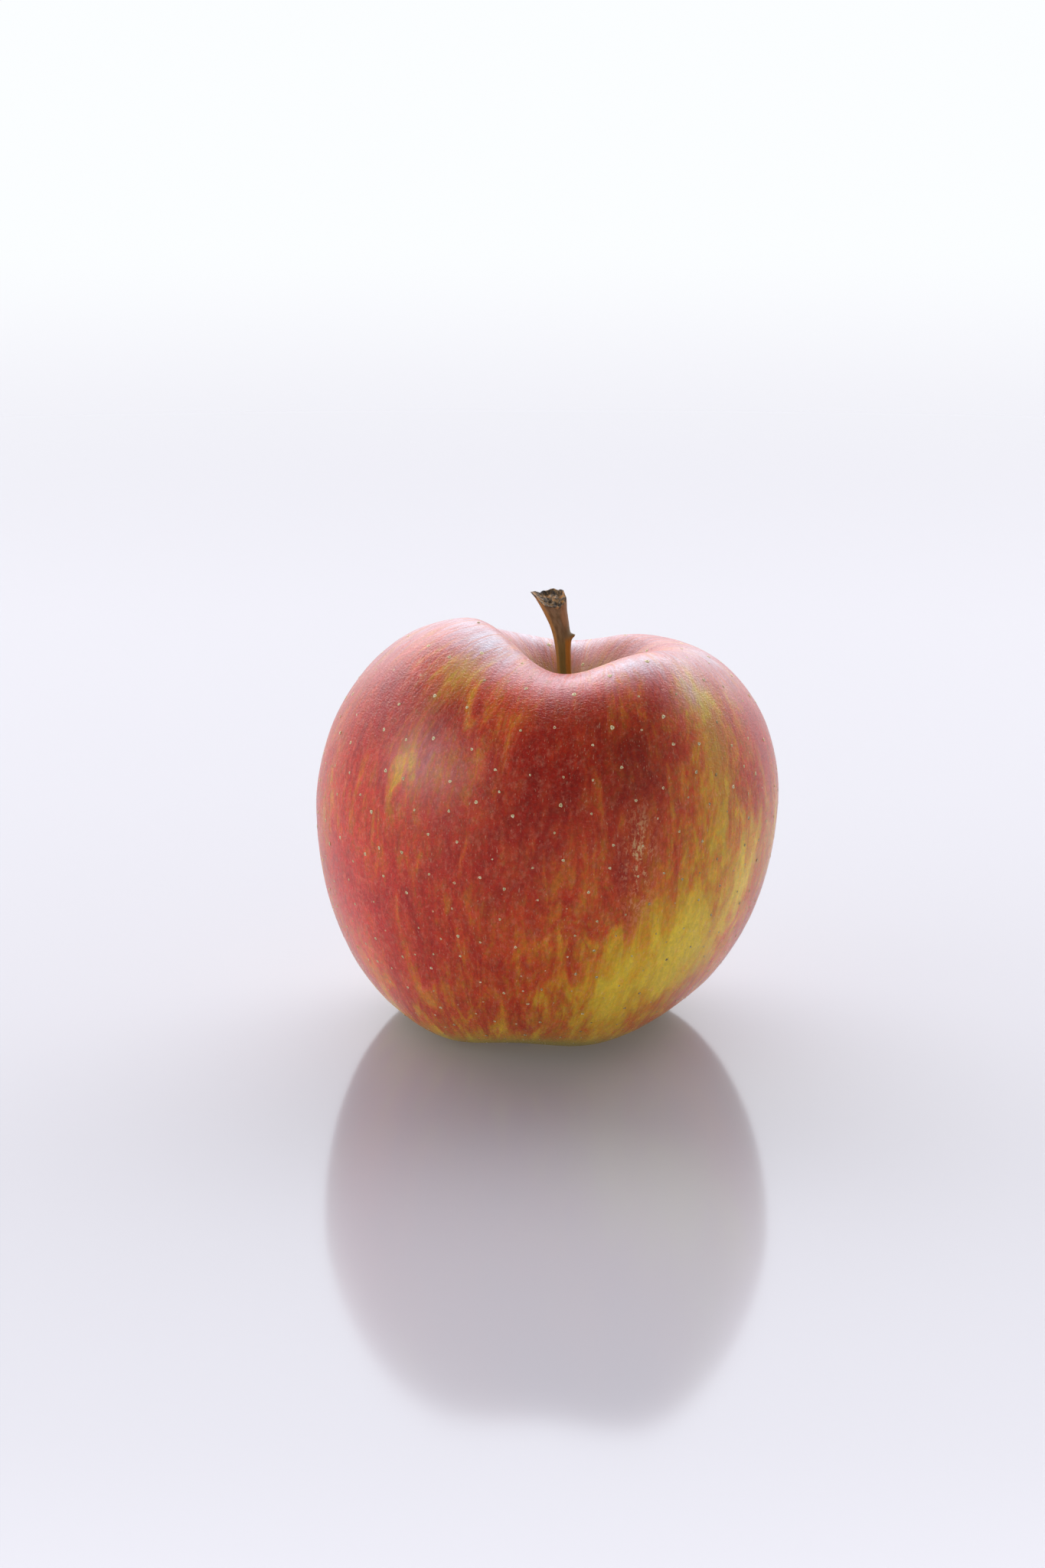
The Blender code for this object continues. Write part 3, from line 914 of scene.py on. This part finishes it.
def sepal_points(number):
    """Rings across a dried, curled sepal under the basin's ceiling, from its root to its tip."""
    azimuth = BASE_LOBE_AZIMUTH + 2 * math.pi * number / BASE_LOBES
    outwards = np.array((math.cos(azimuth), math.sin(azimuth)))
    sideways = np.array((-outwards[1], outwards[0]))
    share = np.linspace(0, 1, SEPAL_ROWS)[:, None]
    place = np.cos(np.linspace(0, 2 * math.pi, SEPAL_SIDES, False))[None, :]
    lower = np.sin(np.linspace(0, 2 * math.pi, SEPAL_SIDES, False))[None, :]
    reach = SEPAL_ROOT_RADIUS + SEPAL_LENGTH * share
    room = 2 * reach * math.sin(math.pi / BASE_LOBES) - GAP
    outline = np.sin(math.pi * (0.22 + 0.76 * share)) ** 0.8 * (1 + 0.05 * np.cos(23 * share + number))
    half = np.minimum(SEPAL_WIDTH * outline, room) / 2
    x = BASE_CENTRE[0] + outwards[0] * reach + sideways[0] * half * place
    y = BASE_CENTRE[1] + outwards[1] * reach + sideways[1] * half * place
    ceiling = basin_ceiling(
        np.hypot(x - BASE_CENTRE[0], y - BASE_CENTRE[1]), np.arctan2(y - BASE_CENTRE[1], x - BASE_CENTRE[0])
    )
    wave = 0.00012 * np.sin(9 * share + 2.5 * place + number) * share
    droop = 2 * GAP + SEPAL_DROOP * np.sin(math.pi * share**0.8) - wave
    thickness = SEPAL_THICKNESS * (0.35 + 0.4 * np.sin(math.pi * (0.15 + 0.75 * share)))
    rib = 0.00012 * np.exp(-((place / 0.18) ** 2)) * (lower > 0)
    z = ceiling - droop - thickness * lower / 2 - rib
    return np.stack(np.broadcast_arrays(x, y, z), -1)


def make_sepals(shift):
    finish = dried_finish("dried_sepal_down", SEPAL_DARK, SEPAL_LIGHT, 0.0006)
    count = SEPAL_ROWS * SEPAL_SIDES
    for number in range(BASE_LOBES):
        rings = sepal_points(number) + shift
        points = np.concatenate([rings.reshape(-1, 3), [rings[0].mean(0), rings[-1].mean(0)]])
        faces = [face[::-1] for face in lathe_faces(SEPAL_ROWS, SEPAL_SIDES)]
        faces += fan_faces(0, SEPAL_SIDES, count, True)
        faces += fan_faces(count - SEPAL_SIDES, SEPAL_SIDES, count + 1, False)
        piece = mesh_piece(f"dried_sepal_{number + 1}", points.tolist(), faces, finish)
        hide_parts(f"sepal_{number + 1}")


def tube(path, radii, sides=8):
    """(points, faces) of a closed tube along a path."""
    direction = np.gradient(path, axis=0)
    direction /= np.linalg.norm(direction, axis=1, keepdims=True)
    side = np.cross(direction, (0.31, 0.95, 0.05))
    side /= np.linalg.norm(side, axis=1, keepdims=True)
    other = np.cross(direction, side)
    turns = np.linspace(0, 2 * math.pi, sides, False)[None, :, None]
    circle = np.cos(turns) * side[:, None] + np.sin(turns) * other[:, None]
    rings = path[:, None] + radii[:, None, None] * circle
    points = np.concatenate([rings.reshape(-1, 3), path[:1], path[-1:]])
    count = len(path) * sides
    faces = lathe_faces(len(path), sides)
    faces += fan_faces(0, sides, count, False)
    faces += fan_faces(count - sides, sides, count + 1, True)
    return points, faces


def make_stamen_piece(shift):
    """The tuft of dried filaments, each with a shrivelled anther at its lower end."""
    random = np.random.default_rng(SEED + 1)
    points, faces = [], []
    share = np.linspace(0, 1, 12)
    radii = STAMEN_RADIUS + ANTHER_SWELLING * np.exp(-(((share - 0.93) / 0.07) ** 2))
    for number in range(STAMEN_COUNT):
        azimuth = 2 * math.pi * number / STAMEN_COUNT + random.uniform(-0.1, 0.1)
        inner = STAMEN_TUFT_RADIUS * (0.35 if number % 3 == 0 else random.uniform(0.7, 0.85))
        outer = inner + random.uniform(-0.0001, 0.0003)
        length = STAMEN_TUFT_LENGTH * random.uniform(0.72, 0.98)
        swing = azimuth + random.uniform(-0.5, 0.5) * share**2
        reach = inner + (outer - inner) * share
        x = BASE_CENTRE[0] + reach * np.cos(swing)
        y = BASE_CENTRE[1] + reach * np.sin(swing)
        path = np.stack([x, y, BASIN_DEPTH - GAP - length * share], -1) + shift
        more, new_faces = tube(path, radii)
        faces += [tuple(len(points) + i for i in face) for face in new_faces]
        points += more.tolist()
    finish = dried_finish("dried_filaments", STAMEN_DARK, STAMEN_LIGHT, 0.0003)
    piece = mesh_piece("dried_stamen_tuft", points, faces, finish)
    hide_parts("stamens")


# --- The stage ---------------------------------------------------------------------------------------------

FLOOR_RADIUS = 14.0
FLOOR_COLOUR = (0.315, 0.315, 0.335)
FLOOR_ROUGHNESS = 0.10
FLOOR_IOR = 1.5
# The floor's own glow, and how many times stronger it is for the light that falls on what stands there.
FLOOR_GLOW = (0.066, 0.060, 0.066)
FLOOR_UPLIGHT = 3.6
# The floor fades into the horizon's colour over these distances.
FLOOR_FADE = (0.30, 2.2)
HORIZON_COLOUR = (0.97, 0.99, 1.0)
WORLD_TINT = (0.985, 0.985, 1.04)

# The light's strength along an arc from the back horizon (0) over the top (0.5) to the front horizon (1).
ARC_PEAK = 6.8
ARC_STOPS = (
    (0.00, 1.02), (0.045, 1.12), (0.065, 1.52), (0.09, 1.84), (0.13, 2.3), (0.163, 3.2), (0.20, 5.6),
    (0.28, 6.4), (0.345, 3.4), (0.40, 1.5), (0.45, 0.42), (0.53, 0.25), (1.0, 0.28),
)
SIDE_LIGHT = 0.65
FILL_LIGHT = 1.3
FILL_DIRECTION = (-0.87, -0.33, 0.37)

BOUNCE_POWER = 0.32
BOUNCE_SIZE = (0.5, 0.12)
BOUNCE_PLACE = (0.02, -0.46, 0.09)
BOUNCE_DIRECTION = (0.0, 0.46, -0.055)

CAMERA_PLACE = (-0.0042, -0.4230, 0.1576)
CAMERA_TILT = math.radians(74.65)
CAMERA_LENS = 59.85
CAMERA_SENSOR = 36


def make_floor():
    mesh = bpy.data.meshes.new("floor")
    ring = bmesh.new()
    bmesh.ops.create_circle(ring, cap_ends=True, segments=96, radius=FLOOR_RADIUS)
    ring.to_mesh(mesh)
    ring.free()
    floor = bpy.data.objects.new("floor", mesh)
    bpy.context.scene.collection.objects.link(floor)
    made = Finish("floor_acrylic")
    here = made.add("TexCoord").outputs["Object"]
    far = made.step(made.add("VectorMath", here, operation="LENGTH").outputs["Value"], *FLOOR_FADE)
    strength = made.step(made.add("LightPath").outputs["Is Diffuse Ray"], 0.0, 1.0, 1.0, FLOOR_UPLIGHT)
    made.finish(Base_Color=rgba(FLOOR_COLOUR), Roughness=FLOOR_ROUGHNESS, IOR=FLOOR_IOR)
    made.finish(Emission_Color=rgba(FLOOR_GLOW), Emission_Strength=strength)
    glow = made.add("Emission", rgba(HORIZON_COLOUR), 1.0)
    both = made.add("MixShader", far, made.shader.outputs[0], glow.outputs[0])
    made.tree.links.new(both.outputs[0], made.tree.nodes["Material Output"].inputs["Surface"])
    mesh.materials.append(made.material)


def make_world():
    """Soft light that changes along the arc and fades to the sides. The camera sees a plain backdrop."""
    world = bpy.data.worlds.new("studio")
    bpy.context.scene.world = world
    world.use_nodes = True
    made = Nodes(world.node_tree)
    way = made.add("TexCoord").outputs["Generated"]
    x, y, z = made.add("SeparateXYZ", way).outputs
    arc = made.maths("DIVIDE", made.maths("ARCTAN2", z, y), math.pi)
    level = made.ramp(arc, [(place, (value / ARC_PEAK,) * 3) for place, value in ARC_STOPS])
    level = made.maths("MULTIPLY", level, ARC_PEAK)
    aside = made.step(made.maths("ABSOLUTE", x), 0.60, 0.97)
    level = made.add("MapRange", aside, 0.0, 1.0, level, SIDE_LIGHT).outputs[0]
    fill_way = Vector(FILL_DIRECTION).normalized()
    towards = made.add("VectorMath", way, fill_way, operation="DOT_PRODUCT").outputs["Value"]
    level = made.total(level, made.step(towards, 0.80, 0.99, 0.0, FILL_LIGHT))
    tinted = made.blend(1.0, level, WORLD_TINT, "MULTIPLY")
    seen = made.add("LightPath").outputs["Is Camera Ray"]
    colour = made.blend(seen, tinted, HORIZON_COLOUR)
    made.feed(made.tree.nodes["Background"].inputs["Color"], colour)


def make_bounce():
    """A low card in front, which lights the fruit's underside and shows in no reflection."""
    data = bpy.data.lights.new("bounce", "AREA")
    data.shape = "RECTANGLE"
    data.size, data.size_y = BOUNCE_SIZE
    data.energy = BOUNCE_POWER
    card = bpy.data.objects.new("bounce", data)
    card.location = BOUNCE_PLACE
    card.rotation_euler = Vector(BOUNCE_DIRECTION).to_track_quat("-Z", "Y").to_euler()
    card.visible_camera = False
    card.visible_glossy = False
    bpy.context.scene.collection.objects.link(card)


def make_camera():
    data = bpy.data.cameras.new("camera")
    data.lens = CAMERA_LENS
    data.sensor_width = CAMERA_SENSOR
    data.clip_start = 0.01
    data.clip_end = 50
    camera = bpy.data.objects.new("camera", data)
    camera.location = CAMERA_PLACE
    camera.rotation_euler = (CAMERA_TILT, 0, 0)
    bpy.context.scene.collection.objects.link(camera)
    bpy.context.scene.camera = camera


def main():
    bpy.context.scene.view_settings.view_transform = "Standard"
    make_world()
    make_bounce()
    make_floor()
    make_camera()
    shift = make_skin()
    make_lenticels(shift)
    make_stem_piece(shift)
    make_sepals(shift)
    make_stamen_piece(shift)


main()
